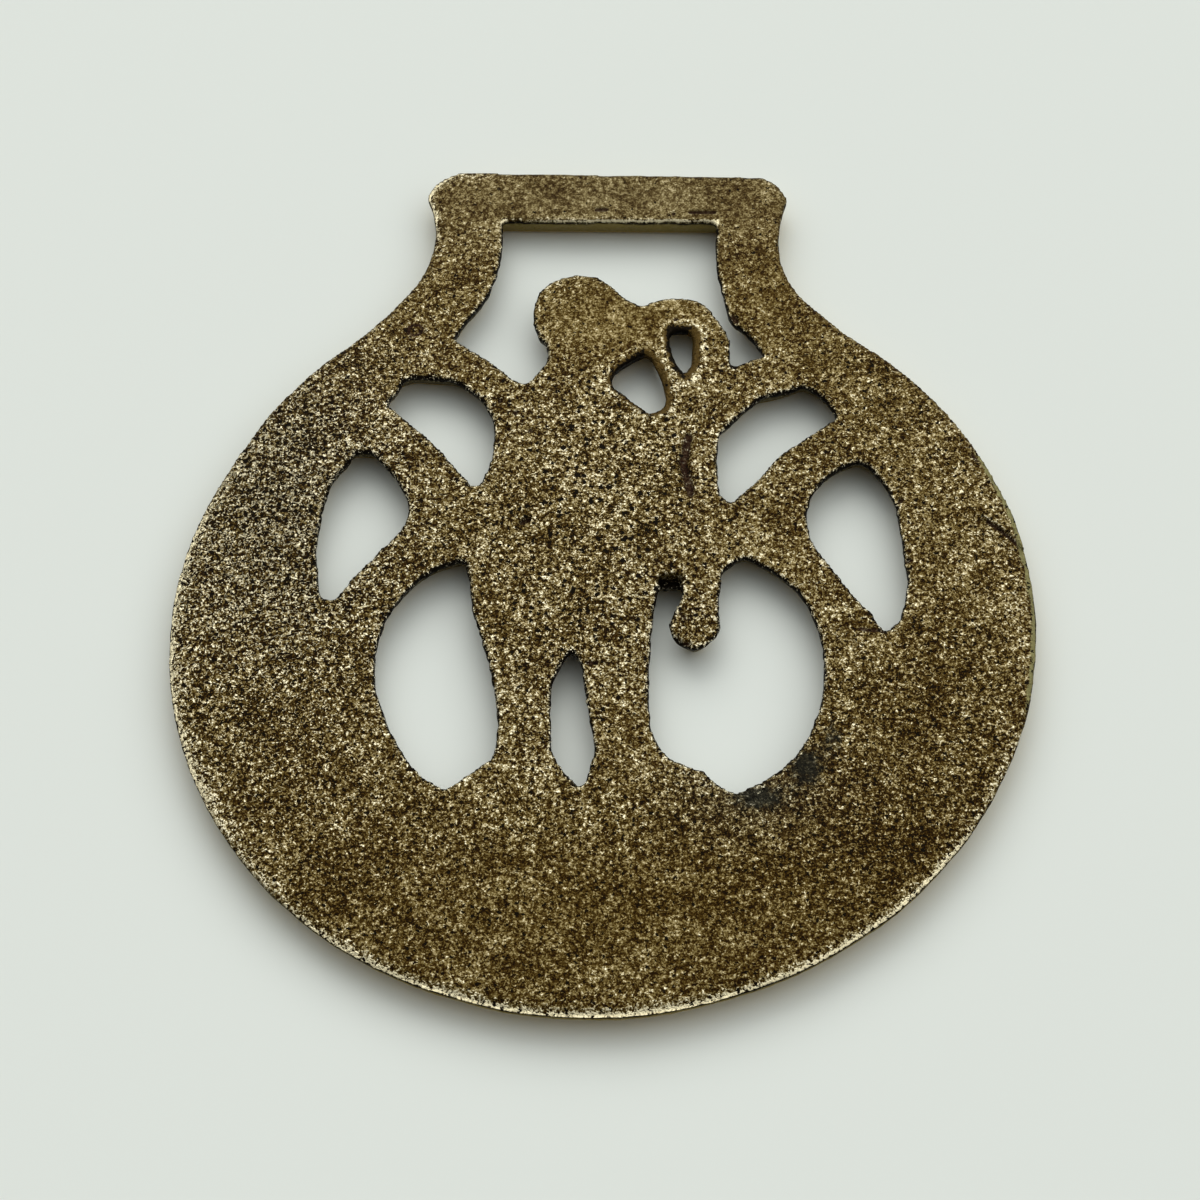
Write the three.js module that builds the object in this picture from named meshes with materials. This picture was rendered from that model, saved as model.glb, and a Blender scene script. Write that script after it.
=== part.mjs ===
import * as THREE from 'three';

// Horse brass: one openwork brass casting, a round plate below a strap hanger.
// A standing figure with a raised arm is left between ten openings.
// It lies on its polished front, so the flat sand-cast back is the top face.
// Millimetres. +Z is up and +Y runs from the plate to the hanger.
// The origin is the bottom centre of the bounding box.

// ---- Driving dimensions ----
const plateRadius = 39.2; // mean radius of the plate
const plateOffset = 0.2; // the rim was filed this far off to the right of the pattern's centre
const ovality = 0.15; // the plate is this much wider across one slanting axis, and narrower across the other
const ovalAxisAngle = 50; // degrees of the wider axis
const thickness = 3;
const leftNeckAngle = 150; // degrees round the plate, where its rim starts to swell toward the neck
const rightNeckAngle = 52.9;
const hangerTopLeft = 52.8; // height of the hanger's top edge over the pattern's centre
const hangerTopRight = 51.9;
const slotTopLeft = 46.4; // top edge of the strap slot
const slotTopRight = 46.1;
const slotLeft = -11;
const slotRight = 10.6;

// Wall profiles from the back face down to the front: [height, distance into the metal].
// A negative distance is out of the metal. A third number moves that level's outline to the right.
const rimWall = [
  [thickness, 0.25],
  [thickness - 0.2, 0],
  [1.9, 0.1],
  [1.1, 0.6],
  [0.4, 1.2],
  [0, 1.8],
];
const strapBearing = 45; // the slot's wall above this height over the pattern's centre bears on the strap
const bearingUndercut = 0.6; // share of the undercut that the bearing wall has
const lipShift = -0.2; // how far right the lips' outlines are moved, so this is to the left
// The openings are narrowest at the back, where the metal ran a little past the outlines below.
// They widen to rounded edges on the front.
const openingWall = [
  [thickness, -0.1],
  [2.2, 0.05],
  [1, 0.7],
  [0, 1.3],
];
// The two little holes in the bent arm have a lip of their own, a short way below the back face.
// The lip's outline is moved to the left by lipShift, so it is wider on the holes' right.
const lippedWall = (lipDrop, lipReach) => [
  [thickness, 0],
  [thickness - lipDrop, -lipReach, lipShift],
  [1.2, 0.1],
  [0, 0.4],
];

const arcStep = 0.9; // length of one facet on a curved side
const plateStep = 3; // degrees of one facet on the plate's rim
const sharpestMitre = 2; // longest corner of an inset outline, in inset distances

// ---- Outlines, clockwise from above, from the pattern's centre ----
// Each corner is x, y and the rise of the arc from it to the next corner.
// A rise is positive where the side bows to the left of its run, which is out of the shape.

const onPlate = (degrees) => {
  const angle = THREE.MathUtils.degToRad(degrees);
  const fromWideAxis = THREE.MathUtils.degToRad(degrees - ovalAxisAngle);
  const radius = plateRadius + ovality * Math.cos(2 * fromWideAxis);
  return [plateOffset + radius * Math.cos(angle), radius * Math.sin(angle)];
};

// From the plate's swollen upper left, over the neck and the hanger's flared ears, to the right of the neck.
const hangerSides = [
  [...onPlate(leftNeckAngle), 0.75],
  [-25.4, 30.4, -0.25],
  [-19.6, 37.3, -0.45],
  [-17.5, 43.6, -0.3],
  [-18.5, 49.4, 0.1],
  [-17.8, 51.2, 0.2],
  [-15.3, hangerTopLeft, -0.1],
  [15.1, hangerTopRight, 0.35],
  [17.5, 49.1, -0.15],
  [16.6, 43.5, -0.55],
  [18.8, 36.5, -0.1],
];

// The strap slot, which runs down round the head and the raised arm.
const strapSlot = [
  [slotLeft, slotTopLeft, 0],
  [slotRight, slotTopRight, -0.15],
  [slotRight, 40, -0.1],
  [11.8, 34, -0.1],
  [12.6, 33, 0.3],
  [15.1, 29.3, -0.15],
  [11.9, 27.7, 0],
  [11.7, 31.5, -0.3],
  [8.9, 36.1, -0.7],
  [3.4, 35.5, 0.3],
  [0.6, 37.7, -1.9],
  [-6.8, 37.2, -0.55],
  [-6.6, 31.7, 0.2],
  [-5.6, 29.9, 0.45],
  [-7.9, 25.9, 0.15],
  [-11, 28.7, 0.1],
  [-14.9, 31.5, 0.15],
  [-12.2, 36.1, -0.2],
  [-10.9, 41, -0.25],
];

const upperLeftOpening = [
  [-20.9, 23.7, 0.15],
  [-19.8, 25.4, 0.6],
  [-18.5, 27, 0],
  [-15, 26.7, 0.7],
  [-10.6, 21.9, 0.6],
  [-11.5, 14.3, 0.1],
  [-12.3, 14.2, 0],
  [-15.9, 18.9, 0],
];

const upperRightOpening = [
  [18.8, 25.9, 0.5],
  [22, 22, -0.1],
  [16.3, 17.4, 0.2],
  [12.1, 12.4, 0.15],
  [10.9, 13.3, 0.25],
  [10.8, 20.2, 0.1],
  [14.9, 24.6, -0.15],
];

const outerLeftOpening = [
  [-24, 17, 0.15],
  [-23.4, 18.2, 0],
  [-21.8, 18.1, 0.2],
  [-18.2, 13, 0.4],
  [-18.6, 9.2, 0],
  [-22.9, 3.7, 0],
  [-24, 1.6, 0.15],
  [-25.5, 1.9, 0.15],
  [-26.3, 7.5, 0.15],
  [-25.6, 14.3, 0.15],
];

const outerRightOpening = [
  [23.8, 17.1, 0.2],
  [25.2, 16, 0.2],
  [27.2, 12, 0],
  [28, 4.5, 0.15],
  [27.5, 0.7, 0.3],
  [26, -1.7, 0.2],
  [24.7, 0.2, 0.15],
  [20.4, 6.3, 0.35],
  [18.9, 10.5, 0.4],
  [20.5, 15, 0.2],
];

const leftOfLegs = [
  [-12.5, 6, 0.15],
  [-11.5, 0.6, 0.25],
  [-8.8, -9.5, 0.25],
  [-8.9, -14.8, 0],
  [-13, -18, 0.2],
  [-16.1, -15.6, 0.45],
  [-19.9, -7, 0.4],
  [-19.2, 0, 0.35],
  [-15.5, 4.8, 0.15],
];

const betweenLegs = [
  [-2.3, -3.5, 0.2],
  [-1.2, -6, -0.1],
  [0.1, -13.8, 0],
  [-0.5, -16.5, 0.25],
  [-1.2, -17.7, 0.35],
  [-3.9, -13.5, 0],
  [-4.1, -8.5, 0.4],
];

// This one runs up both sides of the rounded piece that hangs below the figure's hand.
const rightOfLegs = [
  [5.3, 3.2, 0],
  [7.5, 3.2, 0.1],
  [7.4, 1.4, -0.25],
  [6.5, -1.5, -0.4],
  [8.7, -3.5, -0.4],
  [11, -1.2, 0],
  [10.8, 1.5, 0],
  [11.1, 4.5, 0.3],
  [13.2, 6.4, 0.35],
  [18.2, 2.5, 0.5],
  [20.3, -5, 0.95],
  [17.2, -15, 0.3],
  [12.4, -18.2, 0.2],
  [9.6, -16, 0],
  [6.5, -14.7, 0.4],
  [4.7, -10, 0.1],
  [4.8, -1, 0],
];

const elbowHole = [
  [4.8, 29.4, 0.2],
  [6.3, 25, 0.3],
  [5.8, 22.7, 0.3],
  [3.8, 22.5, 0],
  [0.5, 25.5, 0.4],
  [0.8, 28.2, 0.15],
  [3.7, 30.4, 0.1],
];

const forearmSlit = [
  [8.2, 33.1, 0.2],
  [9.1, 31.5, 0],
  [8.9, 28.4, 0.1],
  [7.6, 26.3, 0.25],
  [5.8, 30, 0.2],
  [5.7, 33, 0.15],
];

const openings = [
  { corners: strapSlot, wall: openingWall },
  { corners: upperLeftOpening, wall: openingWall },
  { corners: upperRightOpening, wall: openingWall },
  { corners: outerLeftOpening, wall: openingWall },
  { corners: outerRightOpening, wall: openingWall },
  { corners: leftOfLegs, wall: openingWall },
  { corners: betweenLegs, wall: openingWall },
  { corners: rightOfLegs, wall: openingWall },
  { corners: elbowHole, wall: lippedWall(0.25, 0.6) },
  { corners: forearmSlit, wall: lippedWall(0.35, 0.8) },
];

// ---- Outline geometry ----

// Points along the arc from one corner up to, but not including, the next.
function arcPoints([startX, startY, rise], [endX, endY]) {
  const start = new THREE.Vector2(startX, startY);
  const chord = new THREE.Vector2(endX, endY).sub(start);
  const length = chord.length();
  if (rise === 0) {
    return [start];
  }
  const halfAngle = 2 * Math.atan((2 * rise) / length);
  const along = chord.clone().multiplyScalar(0.5);
  const across = new THREE.Vector2(-along.y, along.x);
  const middle = start.clone().add(along);
  const facets = Math.max(2, Math.round(length / arcStep));
  return Array.from({ length: facets }, (_, i) => {
    const angle = halfAngle * ((2 * i) / facets - 1);
    const run = Math.sin(angle) / Math.sin(halfAngle);
    const lift = (Math.cos(angle) - Math.cos(halfAngle)) / Math.sin(halfAngle);
    return middle.clone().addScaledVector(along, run).addScaledVector(across, lift);
  });
}

function closedOutline(corners) {
  return corners.flatMap((corner, i) => arcPoints(corner, corners[(i + 1) % corners.length]));
}

function hangerOutline() {
  const stops = [...hangerSides, onPlate(rightNeckAngle)];
  return hangerSides.flatMap((corner, i) => arcPoints(corner, stops[i + 1]));
}

// The plate's rim, clockwise from the right of the neck round to where it swells toward the neck's left.
function plateOutline() {
  const sweep = 360 - (leftNeckAngle - rightNeckAngle);
  const facets = Math.round(sweep / plateStep);
  return Array.from({ length: facets }, (_, i) => {
    const [x, y] = onPlate(rightNeckAngle - (sweep * i) / facets);
    return new THREE.Vector2(x, y);
  });
}

const isBearing = ({ x, y }) => y > strapBearing && x >= slotLeft && x <= slotRight;

// The outline moved to its left by a distance, with long mitres cut short.
function movedLeft(points, fullDistance) {
  return points.map((point, i) => {
    const distance = isBearing(point) ? bearingUndercut * fullDistance : fullDistance;
    const before = points[(i + points.length - 1) % points.length];
    const after = points[(i + 1) % points.length];
    const arriving = point.clone().sub(before).normalize();
    const leaving = after.clone().sub(point).normalize();
    const heading = arriving.clone().add(leaving).normalize();
    const mitre = Math.min(1 / heading.dot(leaving), sharpestMitre);
    const left = new THREE.Vector2(-heading.y, heading.x);
    return point.clone().addScaledVector(left, distance * mitre);
  });
}

// ---- Solid ----

// One ring of points for each level of a wall. An opening's metal is to the left of its run,
// and the rim's metal is to the right.
function wallRings(outline, wall, metalOnLeft) {
  const side = metalOnLeft ? 1 : -1;
  return wall.map(([height, depth, shift = 0]) => {
    const points = movedLeft(outline, side * depth).map((point) => point.setX(point.x + shift));
    return { height, points };
  });
}

function castPlate() {
  const rim = wallRings([...hangerOutline(), ...plateOutline()], rimWall, false);
  const holes = openings.map(({ corners, wall }) => wallRings(closedOutline(corners), wall, true));
  const positions = [];
  const faces = [];

  const addRing = ({ height, points }) => {
    const first = positions.length / 3;
    points.forEach(({ x, y }) => positions.push(x, y, height));
    return { first, count: points.length };
  };
  const joinRings = (upper, lower, outwardLeft) => {
    for (let i = 0; i < upper.count; i += 1) {
      const next = (i + 1) % upper.count;
      const [a, b] = [upper.first + i, upper.first + next];
      const [c, d] = [lower.first + i, lower.first + next];
      faces.push(...(outwardLeft ? [a, b, c, b, d, c] : [a, c, b, b, c, d]));
    }
  };
  const addWall = (rings, outwardLeft) => {
    const placed = rings.map(addRing);
    placed.slice(1).forEach((lower, i) => joinRings(placed[i], lower, outwardLeft));
    return placed;
  };
  const addCap = (contours, facesUp) => {
    const numbers = contours.flatMap(({ first, count }) => Array.from({ length: count }, (_, i) => first + i));
    const flat = contours.map(({ first, count }) =>
      Array.from({ length: count }, (_, i) => {
        const at = 3 * (first + i);
        return new THREE.Vector2(positions[at], positions[at + 1]);
      }),
    );
    const points = flat.flat();
    THREE.ShapeUtils.triangulateShape(flat[0], flat.slice(1)).forEach(([p, q, r]) => {
      const [a, b, c] = [points[p], points[q], points[r]];
      const turnsLeft = b.clone().sub(a).cross(c.clone().sub(a)) > 0;
      const corner = turnsLeft === facesUp ? [p, q, r] : [p, r, q];
      faces.push(...corner.map((number) => numbers[number]));
    });
  };

  const walls = [addWall(rim, true), ...holes.map((rings) => addWall(rings, false))];
  addCap(walls.map((rings) => rings[0]), true);
  addCap(walls.map((rings) => rings.at(-1)), false);

  const geometry = new THREE.BufferGeometry();
  geometry.setAttribute('position', new THREE.Float32BufferAttribute(positions, 3));
  geometry.setIndex(faces);
  return geometry;
}

const geometry = castPlate();
geometry.computeBoundingBox();
const middle = geometry.boundingBox.getCenter(new THREE.Vector3());
geometry.translate(-middle.x, -middle.y, -geometry.boundingBox.min.z);
geometry.computeVertexNormals();

const tarnishedBrass = new THREE.MeshStandardMaterial({ color: 0x7d6a3f, roughness: 0.5, metalness: 0.9 });
const horseBrass = new THREE.Mesh(geometry, tarnishedBrass);
horseBrass.name = 'horse_brass';

const group = new THREE.Group();
group.add(horseBrass);

export default group;
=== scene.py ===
"""Horse brass: one openwork sand casting, lying on its polished front with its tarnished back uppermost."""

from __future__ import annotations

import logging
import math
from dataclasses import dataclass, field
from enum import Enum
from functools import partial

import bmesh
import bpy
import numpy as np
from mathutils import Matrix, Vector, noise
from mathutils.kdtree import KDTree

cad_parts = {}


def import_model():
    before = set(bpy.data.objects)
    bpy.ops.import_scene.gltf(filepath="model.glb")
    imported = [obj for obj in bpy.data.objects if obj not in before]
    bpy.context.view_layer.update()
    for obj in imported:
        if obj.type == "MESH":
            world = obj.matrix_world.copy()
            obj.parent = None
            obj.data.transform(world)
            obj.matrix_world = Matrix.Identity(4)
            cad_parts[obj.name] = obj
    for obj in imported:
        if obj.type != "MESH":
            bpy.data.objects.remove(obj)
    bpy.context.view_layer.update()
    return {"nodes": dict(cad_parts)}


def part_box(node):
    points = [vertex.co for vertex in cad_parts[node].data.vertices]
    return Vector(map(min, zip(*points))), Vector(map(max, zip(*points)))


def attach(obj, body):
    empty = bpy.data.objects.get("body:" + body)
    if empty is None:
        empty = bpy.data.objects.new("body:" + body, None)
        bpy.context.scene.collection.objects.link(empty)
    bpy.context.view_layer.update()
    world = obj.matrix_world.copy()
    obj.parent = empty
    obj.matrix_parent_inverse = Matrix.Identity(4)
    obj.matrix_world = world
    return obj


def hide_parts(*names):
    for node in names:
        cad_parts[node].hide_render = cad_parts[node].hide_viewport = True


LOG = logging.getLogger("horse_brass")

MM = 0.001
DOT = 0.01  # plate mm, the length given to a blemish at a single place
PATTERN_CENTRE = (38.97 * MM, 39.225 * MM)  # from the casting's low corner; places in plate mm start there
NODE = "horse_brass"
BODY = "root"


# ---- Small helpers ----


def linear(hex_colour: str) -> tuple[float, float, float, float]:
    """Turns an sRGB hex colour to a linear one.

    Args:
        hex_colour: six hex digits, such as "7d6a3f".

    Returns:
        Red, green, blue and alpha 1.
    """
    channels = [int(hex_colour[i : i + 2], 16) / 255 for i in (0, 2, 4)]
    red, green, blue = (c / 12.92 if c <= 0.04045 else ((c + 0.055) / 1.055) ** 2.4 for c in channels)
    return red, green, blue, 1.0


def add_node(
    material: bpy.types.Material | bpy.types.World,
    kind: str,
    settings: dict[str | int, object] | None = None,
    links: dict[str | int, bpy.types.NodeSocket] | None = None,
    stops: tuple[tuple[float, str], ...] = (),
) -> bpy.types.Node:
    """Adds one shader node.

    Args:
        material: the material or world that gets it.
        kind: the node's type name.
        settings: values by property name, or by input name or number where no property has that name.
        links: sockets that feed the inputs of these names or numbers.
        stops: places and hex colours of a colour ramp, in rising order.

    Returns:
        The new node.
    """
    node = material.node_tree.nodes.new(kind)
    for name, value in (settings or {}).items():
        if isinstance(name, str) and hasattr(node, name):
            setattr(node, name, value)
        else:
            node.inputs[name].default_value = value
    for name, socket in (links or {}).items():
        material.node_tree.links.new(socket, node.inputs[name])
    for number, (place, colour) in enumerate(stops):
        elements = node.color_ramp.elements
        element = elements[number] if number < 2 else elements.new(place)
        element.position = place
        element.color = linear(colour)
    return node


def smooth_step(values: np.ndarray, low: float | np.ndarray, high: float | np.ndarray) -> np.ndarray:
    """A smooth ramp from 0 at low to 1 at high, which may be below low.

    Args:
        values: where to read the ramp.
        low: where it is 0.
        high: where it is 1.

    Returns:
        The ramp at each value.
    """
    share = np.clip((values - low) / (high - low), 0.0, 1.0)
    return share * share * (3.0 - 2.0 * share)


def noise_at(places: np.ndarray, wavelength: float, seed: float, octaves: int = 2) -> np.ndarray:
    """Smooth noise at many places.

    Args:
        places: rows of x, y, z.
        wavelength: size of the broadest lumps, in the same units.
        seed: shifts the pattern.
        octaves: how many layers it has, each half as coarse as the one before.

    Returns:
        About -1 to 1 for each place.
    """
    shift = Vector((seed, 1.7 * seed, -0.6 * seed))
    return np.array([noise.fractal(Vector(p) / wavelength + shift, 1.0, 2.0, octaves) for p in places])


# ---- Finishes ----


class Look(Enum):
    """What the finish reads at each point of the casting. The value names the attribute."""

    CRUST = "crust"  # strength of the sand's print
    TONE = "tone"  # how much lighter the skin is
    LINES = "lines"  # strength of the thin winding lines
    PITS = "pits"  # size and number of bright specks of bare metal, which are painted also as glints
    GLINT_SPECKS = "specks"  # size and number of bright specks
    CHILL = "chill"  # how grey the skin is
    SOOT = "soot"
    SCAR = "scar"
    WORN = "worn"  # rubbed by hands and straps
    BARE = "bare"  # metal without its skin
    GROUND = "ground"  # dressed with a file and dulled again
    RING = "ring"  # brown wall of the two little holes
    WALL = "wall"  # painted shade: black top of every wall, with a thin dark line along its edge
    DEPTH = "depth"  # painted light: olive foot of the walls, lit by light thrown up from the floor
    FRONT = "front"  # polished metal


@dataclass(frozen=True)
class Coat:
    """A colour that hides the skin where one of the looks is strong."""

    look: Look
    colour: str
    uneven: float  # share of the print's level that is added to the look, which breaks the coat's edge up
    start: float  # the sum at which the coat starts
    full: float  # the sum at which it hides all that is under it


@dataclass(frozen=True)
class TarnishedCastBrass:
    """Leaded brass, cast in sand, with a century of tarnish on its back.

    The eye gets the print of coarse sand: brown-black pits, an olive-brown skin, straw-coloured crests
    where hands and cloths have rubbed it, and pale bare metal where the rim has been dressed and worn.
    Small bright specks are painted also as glints, a short stretch of the rim by the ear has a painted
    highlight, and the walls get painted shade, black at the top, and painted light, olive at the foot.
    """

    # From the bottom of a pit to a rubbed crest. The level's middle, 0.5, is the plain skin.
    skin: tuple[tuple[float, str], ...] = (
        (0.22, "0a0400"),
        (0.34, "281600"),
        (0.43, "3d2a02"),
        (0.50, "54421a"),
        (0.58, "78693f"),
        (0.67, "9e8f6b"),
        (0.76, "cfc6a6"),
        (0.86, "fdf5de"),
    )
    bare: str = "efe4c0"
    soot: str = "1c1d17"
    scar: str = "28160d"
    coats: tuple[Coat, ...] = (
        Coat(Look.BARE, "efe4c0", 2.0, 1.5, 1.9),
        Coat(Look.GROUND, "857f55", 0.8, 0.75, 1.05),
        Coat(Look.RING, "52401c", 0.8, 0.7, 1.1),
        # Painted shade: black on the walls' tops and in the pocket beside the hand.
        Coat(Look.WALL, "150f06", -1.6, -0.45, -0.2),
        # Painted light: olive on the walls' foot, as if lit from the floor.
        Coat(Look.DEPTH, "8a7a45", 0.3, 0.5, 1.1),
        Coat(Look.FRONT, "c9a95a", 0.1, 0.4, 0.9),
    )
    grain: float = 0.40  # mm, one lump of the sand's print
    fine_grain: float = 0.17  # mm
    fine_share: float = 0.35  # of the print that is fine grain
    winding: float = 0.5  # mm, how far the thin lines wander
    line_break: float = 0.6  # mm, how far a line runs before it fades
    line_width: float = 0.06  # share of the winding noise's height
    crest: float = 0.35  # of the level, which is 1 from the deepest pit to the highest crest
    furrow: float = 0.36
    pit_depth: float = 0.42
    pit_spacing: float = 0.75  # mm between gas pits
    pit_reach: float = 0.28  # of the spacing, the widest pit
    speck_spacing: float = 1.3  # mm between bright specks of bare metal
    speck_reach: float = 0.12
    spot_edge: float = 0.22  # mm, the unevenness of a pit's outline
    blotch: float = 4.0  # mm, patches of heavier tarnish
    blotch_depth: float = 0.035
    worn_crust: float = 0.5  # how much wear strengthens the print, as it brightens the crests
    worn_tone: float = 0.10  # how much wear lightens the skin
    stain_edge: float = 0.6  # mm, the raggedness of soot and scars
    relief: float = 0.10  # mm, depth of the print beyond what the mesh has

    def build(self, name: str) -> bpy.types.Material:
        """Builds the material.

        Args:
            name: the material's name.

        Returns:
            The material, whose pattern reads Object coordinates and the casting's own attributes.
        """
        material = bpy.data.materials.new(name)
        material.use_nodes = True
        material.node_tree.nodes.clear()
        node = partial(add_node, material)
        place = node(
            "ShaderNodeMapping",
            {"Scale": (1 / MM, 1 / MM, 1 / MM)},
            {"Vector": node("ShaderNodeTexCoord").outputs["Object"]},
        ).outputs["Vector"]

        level = self._by_place(material, place, self._sand_print(material, place))
        colour = node("ShaderNodeValToRGB", links={"Fac": level}, stops=self.skin).outputs["Color"]
        # Bright specks of bare metal, which are painted also as glints.
        specks = self._spots(material, place, Look.GLINT_SPECKS)
        colour = node(
            "ShaderNodeMix", {"data_type": "RGBA", 7: linear(self.bare)}, {0: specks, 6: colour}
        ).outputs[2]
        colour = self._coated(material, self._stained(material, place, colour), level)

        bump = node(
            "ShaderNodeBump", {"Strength": 1.0, "Distance": self.relief * MM}, {"Height": level}
        ).outputs["Normal"]
        # Rubbed crests shine more than the skin and the pits.
        roughness = node(
            "ShaderNodeMapRange",
            {"From Min": 0.35, "From Max": 0.75, "To Min": 0.75, "To Max": 0.42},
            {"Value": level},
        ).outputs["Result"]
        shader = node(
            "ShaderNodeBsdfPrincipled",
            {"Metallic": 0.92},
            {"Base Color": colour, "Roughness": roughness, "Normal": bump},
        ).outputs["BSDF"]
        node("ShaderNodeOutputMaterial", links={"Surface": shader})
        return material

    def _sand_print(
        self, material: bpy.types.Material, place: bpy.types.NodeSocket
    ) -> bpy.types.NodeSocket:
        """Grain, thin winding lines and gas pits.

        Args:
            material: the material.
            place: coordinates in millimetres.

        Returns:
            The level, about 0 at a pit's bottom, 0.5 on plain skin and 1 on a crest.
        """
        node = partial(add_node, material)
        grain = node(
            "ShaderNodeTexNoise",
            {"Scale": 1 / self.grain, "Detail": 2.0, "Roughness": 0.7},
            {"Vector": place},
        ).outputs["Fac"]
        fine = node(
            "ShaderNodeTexNoise",
            {"Scale": 1 / self.fine_grain, "Detail": 1.0, "Roughness": 0.6},
            {"Vector": place},
        ).outputs["Fac"]
        level = node("ShaderNodeMix", {0: self.fine_share}, {2: grain, 3: fine}).outputs[0]

        # Raised lines and furrows run along the middle heights of two more noises. The furrows' darker colour
        #         # is partly tarnish in them and partly painted shade, as beside a raised line.
        winding = node(
            "ShaderNodeTexNoise",
            {"Scale": 1 / self.winding, "Detail": 1.5, "Roughness": 0.5},
            {"Vector": place},
        ).outputs["Color"]
        winding = node("ShaderNodeSeparateColor", links={"Color": winding}).outputs
        runs = []
        for channel, rise in (("Green", self.crest), ("Blue", -self.furrow)):
            off = node("ShaderNodeMath", {"operation": "SUBTRACT", 1: 0.5}, {0: winding[channel]}).outputs[0]
            off = node("ShaderNodeMath", {"operation": "ABSOLUTE"}, {0: off}).outputs[0]
            run = node(
                "ShaderNodeMapRange",
                {"From Max": self.line_width, "To Min": rise, "To Max": 0.0},
                {"Value": off},
            ).outputs["Result"]
            runs.append(run)
        lines = node("ShaderNodeMath", {"operation": "ADD"}, {0: runs[0], 1: runs[1]}).outputs[0]
        broken = node(
            "ShaderNodeTexNoise",
            {"Scale": 1 / self.line_break, "Detail": 2.0, "Roughness": 0.6},
            {"Vector": place},
        ).outputs["Fac"]
        broken = node(
            "ShaderNodeMapRange", {"From Min": 0.40, "From Max": 0.62, "To Min": 0.4}, {"Value": broken}
        ).outputs["Result"]
        share = node("ShaderNodeAttribute", {"attribute_name": Look.LINES.value}).outputs["Fac"]
        share = node("ShaderNodeMath", {"operation": "MULTIPLY"}, {0: share, 1: broken}).outputs[0]
        level = node(
            "ShaderNodeMath", {"operation": "MULTIPLY_ADD"}, {0: lines, 1: share, 2: level}
        ).outputs[0]

        pits = self._spots(material, place, Look.PITS)
        return node(
            "ShaderNodeMath", {"operation": "MULTIPLY_ADD", 1: -self.pit_depth}, {0: pits, 2: level}
        ).outputs[0]

    def _spots(
        self, material: bpy.types.Material, place: bpy.types.NodeSocket, look: Look
    ) -> bpy.types.NodeSocket:
        """Small spots with uneven outlines, each in its own cell.

        Args:
            material: the material.
            place: coordinates in millimetres.
            look: pits or specks. It says how large the spots are, and so how many are left.

        Returns:
            1 inside a spot and 0 outside.
        """
        node = partial(add_node, material)
        if look is Look.PITS:
            spacing, widest = self.pit_spacing, self.pit_reach
        else:
            spacing, widest = self.speck_spacing, self.speck_reach
        stray = node(
            "ShaderNodeTexNoise", {"Scale": 1 / self.spot_edge, "Detail": 1.0}, {"Vector": place}
        ).outputs["Color"]
        aside = node(
            "ShaderNodeVectorMath", {"operation": "MULTIPLY_ADD", 1: (0.6, 0.6, 0.6)}, {0: stray, 2: place}
        ).outputs["Vector"]
        cells = node(
            "ShaderNodeTexVoronoi", {"voronoi_dimensions": "2D", "Scale": 1 / spacing}, {"Vector": aside}
        ).outputs
        # About a third of the cells have no spot, and the rest have all sizes up to the widest.
        size = node("ShaderNodeSeparateColor", links={"Color": cells["Color"]}).outputs["Red"]
        reach = node(
            "ShaderNodeMapRange", {"From Min": 0.35, "To Max": widest}, {"Value": size}
        ).outputs["Result"]
        many = node("ShaderNodeAttribute", {"attribute_name": look.value}).outputs["Fac"]
        reach = node("ShaderNodeMath", {"operation": "MULTIPLY"}, {0: reach, 1: many}).outputs[0]
        inside = node(
            "ShaderNodeMath", {"operation": "SUBTRACT"}, {0: reach, 1: cells["Distance"]}
        ).outputs[0]
        return node("ShaderNodeMapRange", {"From Max": 0.06}, {"Value": inside}).outputs["Result"]

    def _by_place(
        self,
        material: bpy.types.Material,
        place: bpy.types.NodeSocket,
        level: bpy.types.NodeSocket,
    ) -> bpy.types.NodeSocket:
        """Makes the print stronger or weaker, lighter or darker, from place to place.

        Args:
            material: the material.
            place: coordinates in millimetres.
            level: the print's level.

        Returns:
            The level that the colour and the bump read.
        """
        node = partial(add_node, material)
        crust, tone, worn = (
            node("ShaderNodeAttribute", {"attribute_name": look.value}).outputs["Fac"]
            for look in (Look.CRUST, Look.TONE, Look.WORN)
        )
        crust = node(
            "ShaderNodeMath", {"operation": "MULTIPLY_ADD", 1: self.worn_crust}, {0: worn, 2: crust}
        ).outputs[0]
        tone = node(
            "ShaderNodeMath", {"operation": "MULTIPLY_ADD", 1: self.worn_tone}, {0: worn, 2: tone}
        ).outputs[0]
        blotches = node(
            "ShaderNodeTexNoise",
            {"Scale": 1 / self.blotch, "Detail": 1.0, "Roughness": 0.6},
            {"Vector": place},
        ).outputs["Fac"]
        blotches = node(
            "ShaderNodeMapRange",
            {"From Min": 0.3, "From Max": 0.7, "To Min": -self.blotch_depth, "To Max": self.blotch_depth},
            {"Value": blotches},
        ).outputs["Result"]
        off_middle = node("ShaderNodeMath", {"operation": "SUBTRACT", 1: 0.5}, {0: level}).outputs[0]
        print_part = node("ShaderNodeMath", {"operation": "MULTIPLY"}, {0: off_middle, 1: crust}).outputs[0]
        level = node("ShaderNodeMath", {"operation": "ADD", 1: 0.5}, {0: print_part}).outputs[0]
        level = node("ShaderNodeMath", {"operation": "ADD"}, {0: level, 1: tone}).outputs[0]
        return node("ShaderNodeMath", {"operation": "ADD"}, {0: level, 1: blotches}).outputs[0]

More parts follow.
